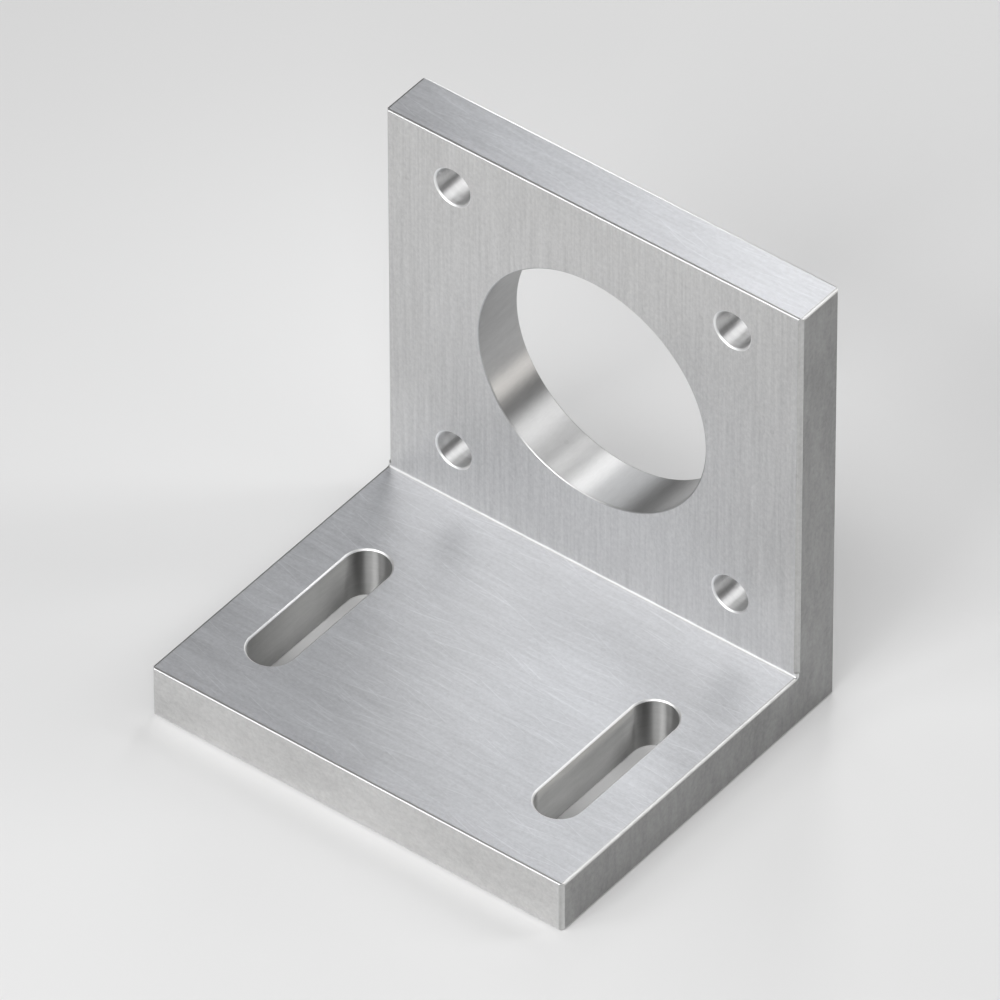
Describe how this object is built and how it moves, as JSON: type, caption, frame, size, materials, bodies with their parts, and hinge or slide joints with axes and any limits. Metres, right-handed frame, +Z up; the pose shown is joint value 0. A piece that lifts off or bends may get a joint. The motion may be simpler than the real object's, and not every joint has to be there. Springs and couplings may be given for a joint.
{
  "type": "motor mounting bracket",
  "caption": "Thick L-shaped motor bracket with a chamfered register bore and a square of bolt holes in its upright, and adjusting slots in its foot.",
  "frame": {"origin": "on the underside of the foot, in the middle of the bracket's width and depth", "axes": "+X across the bracket, +Y from the foot's front edge to the back of the upright, along the motor's axis, +Z up"},
  "size_m": [0.07, 0.06, 0.0725],
  "materials": {
    "brushed_aluminium": "clear, fine-brushed machined aluminium with broken edges"
  },
  "bodies": {
    "root": {"bracket": "brushed_aluminium"}
  },
  "joints": []
}
